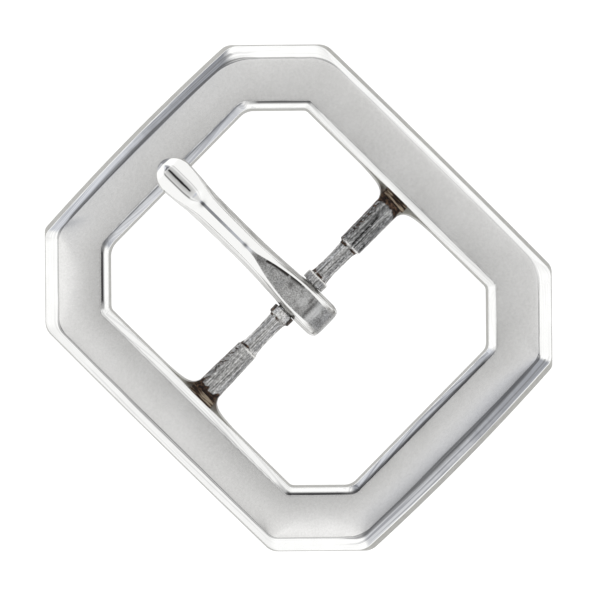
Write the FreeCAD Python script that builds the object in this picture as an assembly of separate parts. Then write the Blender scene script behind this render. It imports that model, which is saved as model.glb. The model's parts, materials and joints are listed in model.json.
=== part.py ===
import FreeCAD, Part
import math
import os

from FreeCAD import Vector

# Centre-bar belt buckle for a 38 mm strap, in millimetres.
# The buckle lies on its back on Z = 0 with its polished face up (+Z).
# X runs along the centre bar, across the strap. Y runs along the strap, towards the prong's tip.
# The origin is on the back plane, under the middle of the frame.

# Frame: an octagonal ring, a rectangle with its corners cut off
OPENING_WIDTH = 39.1       # clear width for the strap, along X
OPENING_LENGTH = 47.5      # clear length, along Y
OPENING_CUT = 6.0          # leg of each cut corner of the opening
SIDE_BAND = 8.8            # width of the long sides, between opening and outside
END_BAND = 9.1             # width of the short sides at their middle
CORNER_CUT = 10.1          # leg of each cut corner outside
END_BOW = 0.45             # how far the short sides bow out
SIDE_BOW = 0.12            # how far the long sides bow out
FRAME_THICKNESS = 4.6
OUTER_CORNER_RADIUS = 2.0
OPENING_SIDE_RADIUS = 1.0  # of the opening's corners on the long sides
OPENING_END_RADIUS = 2.4   # and on the short sides

# Polished bevels of the frame
SIDE_BEVEL = 1.45          # plan widths of the outer bevel, with the leaning wall under it
TOP_BEVEL = 1.85
BOTTOM_BEVEL = 2.4
CUT_BEVEL = 2.05
BEVEL_DEPTH = 1.2
SIDE_LEAN = 0.5            # how far the outer wall leans in between back and bevel
END_LEAN = 0.62
CUT_LEAN = 0.3
BACK_ROUND = 0.35          # chamfer round the back edges
INNER_BEVEL = 1.2          # plan width of the bevel round the opening
INNER_BEVEL_DEPTH = 0.7
INNER_LEAN = 0.25

# Bosses on the long sides, and the slots in them that hold the bar
BOSS_REACH = 1.95          # how far a boss stands into the opening
BOSS_HALF = 1.82           # half width of a boss at its end
BOSS_FLARE = 3.9           # half width where its round root meets the taper
BOSS_TAPER_END = 7.5       # half width where its taper dies out in the wall
BOSS_BACK = 0.4
BOSS_TOP = 3.35
TENON_HALF = 2.05
TENON_INSET = 0.9          # from the opening's edge in to the tenon's inner end
TENON_DEPTH = 1.3          # from the opening's edge out into the band
TENON_TOP = 3.45           # the head stands a little proud of the boss

# Centre bar, one casting on the prong's hinge axis
AXIS_HEIGHT = 2.4
SEAT_RADIUS = 1.2          # round journal that the prong turns on
SEAT_HALF = 2.78           # half length of the journal, between the collars
COLLAR_RADIUS = 1.72
COLLAR_END = 4.1
COLLAR_EDGE = 0.25
NECK_RADIUS = 1.19
NECK_END_RADIUS = 1.38
SHOULDER_START = 10.1
SHOULDER_TIP = (1.56, 1.1)       # half width and half height of the worn rim at the step
SHOULDER_STEP = (1.69, 1.22)     # just behind the rim
SHOULDER_ROOT = (1.8, 1.28)
SHOULDER_RIM = 0.3
SHOULDER_CORNER = 0.85

# Prong, bent round the journal
BORE_CLEARANCE = 0.06
PRONG_TIP = 27.1           # from the hinge axis to the end of the tip, along Y
PRONG_HEEL = 5.6           # from the hinge axis back to the heel
PRONG_REST_GAP = 0.05      # between the prong's underside and the face it rests on
HEEL_SLOT_HEIGHT = 1.1     # the fold behind the journal isn't closed
HEEL_SLOT_END = 3.5
SEAM_WIDTH = 0.25          # between the folded tail and the underside of the shaft
SEAM_ANGLE = -58.0
BOTTOM_ROUND = 0.35
BACK_GAP = 0.15            # the folded tail stays this far inside the back plane
CREST_HALF = 0.2           # half width of the crest line along the shaft
HEAD_FLAT_HALF = 0.8       # half width of the flat on top of the head

OUTER_HALF_X = OPENING_WIDTH / 2 + SIDE_BAND - SIDE_BOW
OUTER_HALF_Y = OPENING_LENGTH / 2 + END_BAND - END_BOW
SLOT_FLOOR = AXIS_HEIGHT - SHOULDER_ROOT[1]
AXIS = Vector(0, 0, AXIS_HEIGHT)
ALONG_X = Vector(1, 0, 0)
ALONG_Z = Vector(0, 0, 1)


def unit(vector):
    result = Vector(vector)
    result.normalize()
    return result


def octagon(half_x, top, bottom, reach, side_bow, end_bow, side_radius, end_radius, z):
    """Wire of a rectangle with cut, rounded corners, whose sides bow out a little.
    top and bottom are the distances of the short sides, and |x| + |y| is reach along the cuts.
    side_radius and end_radius round the corners at the ends of the long and the short sides."""
    side_end = reach - half_x
    top_end = reach - top
    bottom_end = reach - bottom
    corners = [
        (half_x, -side_end), (half_x, side_end), (top_end, top), (-top_end, top),
        (-half_x, side_end), (-half_x, -side_end), (-bottom_end, -bottom), (bottom_end, -bottom),
    ]
    points = [Vector(x, y, z) for x, y in corners]
    bows = [side_bow, 0, end_bow, 0] * 2
    radii = [side_radius, side_radius, end_radius, end_radius] * 2
    count = len(points)
    starts = []
    ends = []
    arcs = []
    for i, (point, radius) in enumerate(zip(points, radii)):
        before = unit(points[i - 1] - point)
        after = unit(points[(i + 1) % count] - point)
        half_angle = before.getAngle(after) / 2
        setback = radius / math.tan(half_angle)
        centre = point + unit(before + after) * (radius / math.sin(half_angle))
        first = point + before * setback
        last = point + after * setback
        middle = centre + unit(point - centre) * radius
        arcs.append(Part.Arc(first, middle, last).toShape())
        starts.append(last)
        ends.append(first)
    edges = []
    for i in range(count):
        edges.append(arcs[i])
        first = starts[i]
        last = ends[(i + 1) % count]
        if bows[i]:
            out = unit((last - first).cross(ALONG_Z))
            middle = (first + last) * 0.5 + out * bows[i]
            edges.append(Part.Arc(first, middle, last).toShape())
        else:
            edges.append(Part.makeLine(first, last))
    return Part.Wire(edges)


def outer_ring(z, side, top, bottom, cut):
    """Outline of the frame's outside at height z, moved in by a width for each kind of side."""
    reach = OUTER_HALF_X + OUTER_HALF_Y - CORNER_CUT - cut * math.sqrt(2)
    return octagon(OUTER_HALF_X - side, OUTER_HALF_Y - top, OUTER_HALF_Y - bottom, reach,
                   SIDE_BOW, END_BOW, OUTER_CORNER_RADIUS, OUTER_CORNER_RADIUS, z)


def opening_ring(z, grow):
    """Outline of the opening at height z, moved out by grow."""
    half_x = OPENING_WIDTH / 2
    half_y = OPENING_LENGTH / 2
    reach = half_x + half_y - OPENING_CUT + grow * math.sqrt(2)
    return octagon(half_x + grow, half_y + grow, half_y + grow, reach, 0, 0,
                   OPENING_SIDE_RADIUS, OPENING_END_RADIUS, z)


def boss(side):
    """Flared boss on one long side, which the end of the bar is let into."""
    wall = OPENING_WIDTH / 2
    tip = wall - BOSS_REACH
    buried = wall + 1.0
    root = [Vector(tip, BOSS_HALF, BOSS_BACK), Vector(wall - 1.0, BOSS_HALF + 0.6, BOSS_BACK),
            Vector(wall - 0.35, BOSS_FLARE, BOSS_BACK)]
    upper = Part.Arc(*root).toShape()
    taper = Part.makeLine(root[2], Vector(wall + INNER_LEAN, BOSS_TAPER_END, BOSS_BACK))
    flip = FreeCAD.Matrix()
    flip.scale(1, -1, 1)
    lower = [edge.transformGeometry(flip) for edge in (upper, taper)]
    edges = [upper, taper] + lower
    edges.append(Part.makeLine(Vector(wall + INNER_LEAN, BOSS_TAPER_END, BOSS_BACK),
                               Vector(buried, BOSS_TAPER_END, BOSS_BACK)))
    edges.append(Part.makeLine(Vector(buried, BOSS_TAPER_END, BOSS_BACK),
                               Vector(buried, -BOSS_TAPER_END, BOSS_BACK)))
    edges.append(Part.makeLine(Vector(buried, -BOSS_TAPER_END, BOSS_BACK),
                               Vector(wall + INNER_LEAN, -BOSS_TAPER_END, BOSS_BACK)))
    edges.append(Part.makeLine(Vector(tip, -BOSS_HALF, BOSS_BACK), Vector(tip, BOSS_HALF, BOSS_BACK)))
    outline = Part.Wire(Part.__sortEdges__(edges))
    solid = Part.Face(outline).extrude(Vector(0, 0, BOSS_TOP - BOSS_BACK))
    if side < 0:
        solid = solid.mirror(Vector(0, 0, 0), ALONG_X)
    return solid


def block(side, inner, outer, half_y, top):
    """Block across the centre line, from the slot floor up, between two distances from the middle."""
    solid = Part.makeBox(outer - inner, 2 * half_y, top - SLOT_FLOOR, Vector(inner, -half_y, SLOT_FLOOR))
    if side < 0:
        solid = solid.mirror(Vector(0, 0, 0), ALONG_X)
    return solid


def tenon(side, top):
    """Head at one end of the bar, wider than the shoulder, so that the boss holds the bar lengthwise."""
    wall = OPENING_WIDTH / 2
    return block(side, wall - TENON_INSET, wall + TENON_DEPTH, TENON_HALF, top)


def shoulder_slot(side, top):
    """Narrow part of the slot, which the end of the shoulder lies in."""
    wall = OPENING_WIDTH / 2
    return block(side, wall - BOSS_REACH - 0.1, wall - TENON_INSET, SHOULDER_ROOT[0], top)


def make_frame():
    thickness = FRAME_THICKNESS
    outside = Part.makeLoft([
        outer_ring(0, BACK_ROUND, BACK_ROUND, BACK_ROUND, BACK_ROUND),
        outer_ring(BACK_ROUND, 0, 0, 0, 0),
        outer_ring(thickness - BEVEL_DEPTH, SIDE_LEAN, END_LEAN, END_LEAN, CUT_LEAN),
        outer_ring(thickness, SIDE_BEVEL, TOP_BEVEL, BOTTOM_BEVEL, CUT_BEVEL),
    ], True, True)
    opening = Part.makeLoft([
        opening_ring(0, BACK_ROUND),
        opening_ring(BACK_ROUND, 0),
        opening_ring(thickness - INNER_BEVEL_DEPTH, INNER_LEAN),
        opening_ring(thickness, INNER_BEVEL),
    ], True, True)
    ring = outside.cut(opening)
    ring = ring.multiFuse([boss(1), boss(-1)])
    for side in (1, -1):
        ring = ring.cut(tenon(side, TENON_TOP))
        ring = ring.cut(shoulder_slot(side, TENON_TOP))
    return ring.removeSplitter()


def bar_section(x, half_y, half_z, corner):
    """Rounded rectangle across the bar at x."""
    y = half_y - corner
    z = half_z - corner
    diagonal = corner * math.sqrt(0.5)
    edges = []
    quadrants = ((1, 1), (-1, 1), (-1, -1), (1, -1))
    ends = []
    for i, (sy, sz) in enumerate(quadrants):
        centre = Vector(x, sy * y, AXIS_HEIGHT + sz * z)
        along_y = centre + Vector(0, sy * corner, 0)
        along_z = centre + Vector(0, 0, sz * corner)
        middle = centre + Vector(0, sy * diagonal, sz * diagonal)
        first, last = (along_y, along_z) if sy * sz > 0 else (along_z, along_y)
        ends.append((Part.Arc(first, middle, last).toShape(), first, last))
    for i, (arc, first, last) in enumerate(ends):
        edges.append(arc)
        edges.append(Part.makeLine(last, ends[(i + 1) % len(ends)][1]))
    return Part.Wire(edges)


def shoulder(side):
    """Thick tapering end of the bar, from the step at the neck to the boss."""
    root = OPENING_WIDTH / 2 - TENON_INSET
    sections = [
        bar_section(SHOULDER_START, *SHOULDER_TIP, SHOULDER_CORNER),
        bar_section(SHOULDER_START + SHOULDER_RIM, *SHOULDER_STEP, SHOULDER_CORNER),
        bar_section(root, *SHOULDER_ROOT, SHOULDER_CORNER),
    ]
    solid = Part.makeLoft(sections, True, True)
    if side < 0:
        solid = solid.mirror(Vector(0, 0, 0), ALONG_X)
    return solid


def make_centre_bar():
    """Round core with journal, collars and waisted necks, then a shoulder and a tenon at each end."""
    def at(x, radius):
        return Vector(x, radius, AXIS_HEIGHT)

    start = SHOULDER_START + 0.01
    neck_middle = (COLLAR_END + SHOULDER_START) / 2
    half = [
        Part.makeLine(at(0, SEAT_RADIUS), at(SEAT_HALF, SEAT_RADIUS)),
        Part.makeLine(at(SEAT_HALF, SEAT_RADIUS), at(SEAT_HALF, COLLAR_RADIUS - COLLAR_EDGE)),
        Part.makeLine(at(SEAT_HALF, COLLAR_RADIUS - COLLAR_EDGE), at(SEAT_HALF + COLLAR_EDGE, COLLAR_RADIUS)),
        Part.makeLine(at(SEAT_HALF + COLLAR_EDGE, COLLAR_RADIUS), at(COLLAR_END - COLLAR_EDGE, COLLAR_RADIUS)),
        Part.makeLine(at(COLLAR_END - COLLAR_EDGE, COLLAR_RADIUS), at(COLLAR_END, COLLAR_RADIUS - COLLAR_EDGE)),
        Part.makeLine(at(COLLAR_END, COLLAR_RADIUS - COLLAR_EDGE), at(COLLAR_END, NECK_END_RADIUS)),
        Part.Arc(at(COLLAR_END, NECK_END_RADIUS), at(neck_middle, NECK_RADIUS),
                 at(start, NECK_END_RADIUS)).toShape(),
        Part.makeLine(at(start, NECK_END_RADIUS), at(start, 0)),
        Part.makeLine(at(start, 0), at(0, 0)),
        Part.makeLine(at(0, 0), at(0, SEAT_RADIUS)),
    ]
    core = Part.Face(Part.Wire(half)).revolve(AXIS, ALONG_X, 360)
    pieces = [core.mirror(Vector(0, 0, 0), ALONG_X)]
    for side in (1, -1):
        pieces.append(shoulder(side))
        pieces.append(tenon(side, TENON_TOP))
    return core.multiFuse(pieces).removeSplitter()


def graph(points):
    """Smooth curve through (y, value) points, as a function of y."""
    curve = Part.BSplineCurve()
    curve.interpolate([Vector(y, value, 0) for y, value in points])

    def value_at(y):
        low = curve.FirstParameter
        high = curve.LastParameter
        for _ in range(50):
            middle = (low + high) / 2
            if curve.value(middle).x < y:
                low = middle
            else:
                high = middle
        return curve.value(low).y

    return value_at


def prong_section(y, half, bottom, top, flat, fall):
    """Section of the prong across Y: a flat crest of half width flat, then flanks that fall
    in a quarter ellipse to the full half width, upright sides and a rounded underside."""
    low = min(BOTTOM_ROUND, half / 3, (top - bottom) / 4)
    fall = min(fall, (top - bottom) * 0.6)
    slant = math.sqrt(0.5)

    def at(x, z):
        return Vector(x, y, z)

    def arc(first, middle, last):
        return Part.Arc(at(*first), at(*middle), at(*last)).toShape()

    def line(first, last):
        return Part.makeLine(at(*first), at(*last))

    crest = (flat, top)
    brow = (flat + (half - flat) * slant, top - fall * (1 - slant))
    flank = (half, top - fall)
    foot = (half, bottom + low)
    turn = (half - low * (1 - slant), bottom + low * (1 - slant))
    sole = (half - low, bottom)

    def other(point):
        return (-point[0], point[1])

    return Part.Wire([
        arc(crest, brow, flank),
        line(flank, foot),
        arc(foot, turn, sole),
        line(sole, other(sole)),
        arc(other(sole), other(turn), other(foot)),
        line(other(foot), other(flank)),
        arc(other(flank), other(brow), other(crest)),
        line(other(crest), crest),
    ])


def prong_body():
    """Prong without its bore, from the heel to the tip."""
    rest = FRAME_THICKNESS + PRONG_REST_GAP
    heel = -PRONG_HEEL
    tip = PRONG_TIP
    half = graph([(heel, 1.45), (heel + 0.12, 1.9), (heel + 0.5, 2.4), (heel + 1.2, 2.66), (-2.6, 2.7), (0, 2.62),
                  (2, 2.54), (6.3, 2.27), (11, 2.15), (18, 2.2), (21.5, 2.47), (24.2, 2.63), (25.5, 2.3),
                  (26.25, 1.74), (26.8, 1.1), (tip, 0.45)])
    top = graph([(heel, 3.1), (heel + 0.12, 3.45), (heel + 0.5, 3.95), (heel + 1.3, 4.45), (-2.6, 4.78), (0, 4.95),
                 (6, 5.17), (12, 5.8), (18, 6.72), (20.2, 7.02), (22, 7.12), (25.2, 7.19), (25.8, 7.13),
                 (26.4, 6.76), (26.8, 6.2), (tip, 5.2)])
    bottom = graph([(heel, 1.3), (heel + 0.12, 0.95), (heel + 0.5, 0.5), (heel + 1.3, 0.15), (-3.2, BACK_GAP),
                    (0.6, BACK_GAP), (2.0, 0.5), (3.4, 1.25), (6, 2.15), (12, 3.1), (18, 4.0), (23, rest - 0.05),
                    (24.3, rest), (tip, rest)])
    flat = graph([(heel, 0.9), (-4.5, 1.45), (-2.4, 1.6), (0, 1.6), (3.5, 1.25), (6.5, 0.7), (9, CREST_HALF),
                  (14, CREST_HALF), (19, CREST_HALF), (20.5, 0.55), (22, HEAD_FLAT_HALF), (25, HEAD_FLAT_HALF),
                  (26.4, 0.35), (tip, 0.12)])
    fall = graph([(heel, 0.4), (-4.5, 0.7), (-2.4, 0.8), (0, 0.85), (5, 1.1), (9, 1.35), (14, 1.35), (20, 1.3),
                  (24, 1.5), (26.4, 0.9), (tip, 0.35)])
    places = [heel, heel + 0.12, heel + 0.5, heel + 1.2]
    shaft_runs = 12
    for i in range(shaft_runs + 1):
        places.append(-3.0 + i * 27.0 / shaft_runs)
    places += [25.0, 25.8, 26.4, 26.8, 27.0, tip]
    sections = [prong_section(y, half(y), bottom(y), top(y), flat(y), fall(y)) for y in places]
    return Part.makeLoft(sections, True, False)


def make_prong():
    half_width = 4.0
    bore = Part.makeCylinder(SEAT_RADIUS + BORE_CLEARANCE, 2 * half_width,
                             Vector(-half_width, 0, AXIS_HEIGHT), ALONG_X)
    slot = Part.makeBox(2 * half_width, HEEL_SLOT_END, HEEL_SLOT_HEIGHT,
                        Vector(-half_width, -HEEL_SLOT_END, AXIS_HEIGHT - HEEL_SLOT_HEIGHT / 2))
    seam = Part.makeBox(2 * half_width, 5, SEAM_WIDTH, Vector(-half_width, 0, AXIS_HEIGHT - SEAM_WIDTH / 2))
    seam.rotate(AXIS, ALONG_X, SEAM_ANGLE)
    return prong_body().cut(bore.multiFuse([slot, seam])).removeSplitter()


def main():
    os.makedirs("parts", exist_ok=True)
    nodes = {
        "frame": make_frame(),
        "centre_bar": make_centre_bar(),
        "prong": make_prong(),
    }
    for name, shape in nodes.items():
        box = shape.BoundBox
        print(name, "valid", shape.isValid(), "solids", len(shape.Solids), "volume", round(shape.Volume, 1),
              "X", round(box.XMin, 2), round(box.XMax, 2), "Y", round(box.YMin, 2), round(box.YMax, 2),
              "Z", round(box.ZMin, 2), round(box.ZMax, 2))
        shape.exportStep("parts/" + name + ".step")


main()
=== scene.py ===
"""Looks for the centre-bar belt buckle: polished octagonal frame, cast centre bar and polished prong.

Lengths inside the mesh code are in millimetres in the shared frame: X along the bar, Y towards the prong's
tip, Z out of the polished face. MM turns them into Blender's metres when a mesh is made.
"""

import json
import math

import bpy
import numpy as np
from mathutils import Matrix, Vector, noise


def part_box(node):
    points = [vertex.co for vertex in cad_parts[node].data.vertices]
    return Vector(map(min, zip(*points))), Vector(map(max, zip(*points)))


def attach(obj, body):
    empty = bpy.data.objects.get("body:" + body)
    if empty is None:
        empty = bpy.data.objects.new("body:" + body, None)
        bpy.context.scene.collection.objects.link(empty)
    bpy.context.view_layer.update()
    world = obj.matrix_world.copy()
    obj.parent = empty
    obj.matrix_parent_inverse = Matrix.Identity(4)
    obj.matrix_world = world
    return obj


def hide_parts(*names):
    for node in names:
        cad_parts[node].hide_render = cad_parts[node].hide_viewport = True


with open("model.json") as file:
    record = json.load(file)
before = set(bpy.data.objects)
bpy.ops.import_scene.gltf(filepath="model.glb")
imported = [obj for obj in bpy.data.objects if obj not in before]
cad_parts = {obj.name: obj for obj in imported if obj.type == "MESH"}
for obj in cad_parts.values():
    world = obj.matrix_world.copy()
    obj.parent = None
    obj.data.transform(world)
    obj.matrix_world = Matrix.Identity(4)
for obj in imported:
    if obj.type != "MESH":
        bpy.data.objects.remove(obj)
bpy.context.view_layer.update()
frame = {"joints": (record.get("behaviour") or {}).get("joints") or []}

MM = 0.001

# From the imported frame
FRAME_HIGH, BAR_HIGH, PRONG_HIGH = [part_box(node)[1] / MM for node in ("frame", "centre_bar", "prong")]
AXIS_Z = frame["joints"][0]["pos_m"][2] / MM
HALF_X = FRAME_HIGH.x
HALF_Y = FRAME_HIGH.y
THICKNESS = FRAME_HIGH.z

# Frame outlines
OPENING_X = HALF_X - 8.8
OPENING_Y = HALF_Y - 9.1
OUTER_CUT = 10.1  # what the cut takes off each corner, along either side
OPENING_CUT = 6.0
END_BOW = 0.45
SIDE_BOW = 0.12
# radii of the eight corners, from the lower end of the right side
OUTER_RADII = np.array([2.0, 2.6, 2.3, 1.3, 2.4, 2.4, 2.5, 1.3])
CREASE_RADII = np.array([6.0, 6.0, 7.0, 2.8, 2.8, 2.0, 3.0, 1.3])
OPENING_RADII = np.array([1.0, 0.9, 2.6, 2.8, 1.1, 1.1, 2.4, 1.8])
EDGE_EXTRA_RADIUS = 0.4  # the top of the wall turns its corners wider than the foot by this much
FACE_RADIUS = 5.0  # extra roundness of the corners half way across the face

# Frame section
BACK_ROUND = 0.35
INNER_LEAN = 0.25
INNER_BEVEL = 1.15
INNER_BEVEL_DEPTH = 0.7
WALL_LEVELS = (0.5, 0.62, 1.2, 2.2, 3.0, 3.2, 3.27, 3.32, 3.37, 3.45, 3.6)  # closer at the bosses' edges
FACE_SHARES = (0.12, 0.24, 0.36, 0.48, 0.58, 0.67, 0.75, 0.83)
EDGE_STEPS = 7  # rows of points on each rounded edge
# Each list goes round the eight sides: right, upper right cut, top, upper left cut, left, lower left cut,
# bottom, lower right cut. Hand polishing left each side a little different.
BEVEL = (1.30, 2.05, 1.82, 2.05, 1.55, 2.05, 2.42, 2.05)  # width in plan
WALL_LEAN = (0.65, 0.32, 0.74, 0.26, 0.34, 0.26, 0.84, 0.28)  # of the wall's top behind its foot
WALL_TOP = (3.45, 3.45, 3.90, 3.30, 3.45, 3.10, 3.65, 3.45)  # height where the bevel starts
FACE_FALL = (0.12, 0.13, 0.14, 0.36, 0.22, 0.42, 0.26, 0.08)  # from the opening to the bevel
FACE_CURVE = (2.0, 2.0, 2.2, 3.0, 2.6, 2.8, 2.4, 2.6)  # power that the fall follows
INNER_SOFTNESS = (0.30, 0.14, 0.35, 0.15, 0.40, 0.15, 0.18, 0.22)  # rounding of the opening's edge
BEVEL_SOFTNESS = (0.32, 0.14, 0.38, 0.14, 0.25, 0.14, 0.50, 0.14)  # rounding of the outer crease
WALL_EDGE = (0.20, 0.08, 0.20, 0.06, 0.10, 0.06, 0.20, 0.08)  # rounding at the wall's top
INNER_PAINTED_REFLECTION = (0.1, 0.9, 0.0, 1.0, 0.0, 1.0, 0.85, 0.0)  # painted dark reflection on the opening's edge
OUTER_PAINTED_REFLECTION = (0.06, 0.62, 0.66, 0.50, 0.66, 0.55, 0.62, 0.66)  # painted dark reflection on the outer crease
WALL_DULLNESS_AND_PAINTED_REFLECTION = (1.0, 1.0, 0.95, 1.0, 0.9, 1.0, 1.2, 1.0)  # grey colour on the outer wall, a painted reflection of the shaded table, over a rougher unbuffed skin
LAY = (0.15, 0.1, 0.5, 0.05, 0.25, 0.05, 0.8, 0.1)  # polishing lines on the bevel
INNER_WALL_DULLNESS_AND_PAINTED_REFLECTION = 1.0
CREASE_PAINTED_REFLECTIONS = (0.0, 1.0, 0.9, 0.3, 0.9, 1.0, 0.6)  # across the crease: a wide painted dark reflection shows double
FACE_BLEND = 6.0  # mm along the edge over which one side's value passes into the next
CORNER_BLEND = 1.3
LINE_BLEND = 0.7
LONG_WAVE = 0.035  # of the polished surface
SHORT_WAVE = 0.012

# Bosses that the bar is let into
BOSS_HALF = 1.75  # half width of the end
BOSS_BACK = 0.4
BOSS_TOP = 3.35
BOSS_ASYMPTOTE = 1.2  # the root is a hyperbola with this asymptote
BOSS_END = 7.5  # where it dies out in the wall
BOSS_SCALE = 1.175

# Centre bar
SEAT_RADIUS = 1.2
COLLAR_START = 2.78
COLLAR_END = 4.1
COLLAR_RADIUS = 1.72
SHOULDER_START = 10.05
SHOULDER_HALF_HEIGHT = 1.28
TENON_START = OPENING_X - 0.9
TENON_HALF = BAR_HIGH.y
TENON_TOP = 3.45
SECTION_SQUEEZE = 1.56  # spreads the points evenly round a squarish section
FINEST_STEP = 0.022  # between sections, where the section changes
EXTRA_STEP = 0.12  # added to it from a millimetre away
SEAM_WIDTH = 0.11
SEAM_DEPTH = 0.08
KNOB_HEIGHT = 0.24
NICK_DEPTH = 0.16

# Prong
BORE_RADIUS = 1.26
SLOT_HALF = 0.55
FACET = 0.26  # width of the facet beside the crest
FACET_FALL = 0.2  # fall across it, as a share of its width
FOOT_ROUND = 0.3
REST_GAP = 0.05  # between the head and the frame's face
STATIONS = 260  # sections from the tail to the tip
# dark blots on the leaf, partly marks and partly painted dark reflection: strength, x, y, half width and half
# length
LEAF_BLOTS_AND_REFLECTIONS = ((0.7, 0.55, 2.05, 0.42, 0.5), (0.8, 0.9, -1.6, 0.7, 0.2), (0.75, 0.0, -2.2, 1.8, 0.24),
         (0.35, -0.4, -4.6, 0.8, 0.45), (0.5, 0.0, 7.6, 0.6, 1.2), (0.4, -1.2, -1.0, 0.6, 0.5))


# ---------------------------------------------------------------- helpers

def smoothstep(low, high, value):
    t = np.clip((np.asarray(value, float) - low) / (high - low), 0, 1)
    return t * t * (3 - 2 * t)


def fade(low, high, value):
    return 1 - smoothstep(low, high, value)


def curve_through(keys, values, at):
    """Monotone cubic curve through listed key values, read at the given places."""
    keys = np.asarray(keys, float)
    values = np.asarray(values, float)
    step = np.diff(keys)
    slope = np.diff(values) / step
    tangent = np.zeros(len(keys))
    tangent[0] = slope[0]
    tangent[-1] = slope[-1]
    rising = slope[:-1] * slope[1:] > 0
    harmonic = 2 * slope[:-1] * slope[1:] / np.where(rising, slope[:-1] + slope[1:], 1)
    tangent[1:-1] = np.where(rising, harmonic, 0)
    at = np.clip(np.asarray(at, float), keys[0], keys[-1])
    index = np.clip(np.searchsorted(keys, at, side="right") - 1, 0, len(step) - 1)
    h = step[index]
    t = (at - keys[index]) / h
    start = values[index]
    end = values[index + 1]
    return ((2 * t**3 - 3 * t**2 + 1) * start + (t**3 - 2 * t**2 + t) * h * tangent[index]
            + (3 * t**2 - 2 * t**3) * end + (t**3 - t**2) * h * tangent[index + 1])


def bell(distance, width, power=2):
    """1 at no distance, about a third at the width and nothing at twice the width."""
    return np.exp(-(distance / width) ** power)


def unit_rows(vectors):
    return vectors / np.maximum(np.linalg.norm(vectors, axis=-1, keepdims=True), 1e-9)


def lumps(points, scale, seed):
    """Smooth noise from about -1 to 1 at each point, with features about 1/scale mm across."""
    offset = Vector((seed * 7.3, seed * 3.1, seed * 5.7))
    return np.array([noise.noise(Vector(p) * scale + offset) for p in points.reshape(-1, 3)])


def new_object(name, data):
    made = bpy.data.objects.new(name, data)
    bpy.context.scene.collection.objects.link(made)
    return made


def grid_piece(name, grid, close_rows, zones=None, attributes=None, cap_ends=False, sharp=40):
    """Mesh object from a grid of points (rows, columns, 3) whose columns close round.
    zones gives a material index for each row of faces; attributes are values for each point."""
    rows, columns = grid.shape[:2]
    points = grid.reshape(-1, 3) * MM
    last = rows if close_rows else rows - 1
    faces = []
    materials = []
    for r in range(last):
        below = r * columns
        above = ((r + 1) % rows) * columns
        for c in range(columns):
            d = (c + 1) % columns
            faces.append((below + c, below + d, above + d, above + c))
            materials.append(zones[r] if zones is not None else 0)
    if cap_ends:
        end = (rows - 1) * columns
        faces.append(tuple(reversed(range(columns))))
        faces.append(tuple(range(end, end + columns)))
        materials += [materials[0], materials[-1]]
    mesh = bpy.data.meshes.new(name)
    mesh.from_pydata(points.tolist(), [], faces)
    mesh.polygons.foreach_set("material_index", materials)
    for key, values in (attributes or {}).items():
        layer = mesh.attributes.new(key, "FLOAT", "POINT")
        layer.data.foreach_set("value", np.asarray(values, np.float32).ravel())
    mesh.polygons.foreach_set("use_smooth", [True] * len(mesh.polygons))
    mesh.update()
    mesh.set_sharp_from_angle(angle=math.radians(sharp))
    return new_object(name, mesh)


# ---------------------------------------------------------------- frame

SIDE_STEPS = 88
END_STEPS = 36
CUT_STEPS = 14
CORNER_STEPS = 8
CROWDING = 0.78  # of the long sides' points towards their middle, where the bosses are
STEPS = (SIDE_STEPS, CUT_STEPS, END_STEPS, CUT_STEPS) * 2


def octagon(insets, half_x, half_y, reach, side_bow, end_bow, radii):
    """Points round a rectangle with cut, rounded corners, starting at the lower right.
    |x| + |y| is reach along the cuts, and each side is moved in by its own inset.
    Each side always gets the same number of points."""
    right, cut_a, top, cut_b, left, cut_c, bottom, cut_d = insets
    right = half_x - right
    left = half_x - left
    top = half_y - top
    bottom = half_y - bottom
    reach_a, reach_b, reach_c, reach_d = [reach - cut * math.sqrt(2) for cut in (cut_a, cut_b, cut_c, cut_d)]
    corners = np.array([
        (right, right - reach_d), (right, reach_a - right), (reach_a - top, top), (top - reach_b, top),
        (-left, reach_b - left), (-left, left - reach_c), (bottom - reach_c, -bottom),
        (reach_d - bottom, -bottom),
    ])
    bows = (side_bow, 0, end_bow, 0) * 2
    before = unit_rows(np.roll(corners, 1, axis=0) - corners)
    after = unit_rows(np.roll(corners, -1, axis=0) - corners)
    half_angle = np.arccos(np.clip((before * after).sum(1), -1, 1)) / 2
    setback = (radii / np.tan(half_angle))[:, None]
    centre = corners + unit_rows(before + after) * (radii / np.sin(half_angle))[:, None]
    ring = []
    for i, steps in enumerate(STEPS):
        start = corners[i] + before[i] * setback[i] - centre[i]
        last = corners[i] + after[i] * setback[i]
        sweep = math.pi - 2 * half_angle[i]
        for k in range(CORNER_STEPS):
            a = sweep * k / CORNER_STEPS
            turned = (start[0] * math.cos(a) - start[1] * math.sin(a),
                      start[0] * math.sin(a) + start[1] * math.cos(a))
            ring.append(centre[i] + turned)
        j = (i + 1) % len(corners)
        run = corners[j] + before[j] * setback[j] - last
        out = np.array([run[1], -run[0]]) / np.linalg.norm(run)
        for k in range(steps):
            u = 2 * k / steps - 1
            if steps == SIDE_STEPS:
                u = (1 - CROWDING) * u + CROWDING * u**3
            ring.append(last + run * (u + 1) / 2 + out * bows[i] * (1 - u * u))
    return np.array(ring)


OUTER_REACH = HALF_X + HALF_Y - SIDE_BOW - END_BOW - OUTER_CUT
OPENING_REACH = OPENING_X + OPENING_Y - OPENING_CUT


def outer_ring(insets, z, radii=OUTER_RADII):
    ring = octagon(insets, HALF_X - SIDE_BOW, HALF_Y - END_BOW, OUTER_REACH, SIDE_BOW, END_BOW, radii)
    return np.column_stack([ring, np.broadcast_to(z, len(ring))])


def opening_ring(grow, z):
    ring = octagon((-grow,) * 8, OPENING_X, OPENING_Y, OPENING_REACH, 0, 0, OPENING_RADII)
    return np.column_stack([ring, np.broadcast_to(z, len(ring))])


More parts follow.
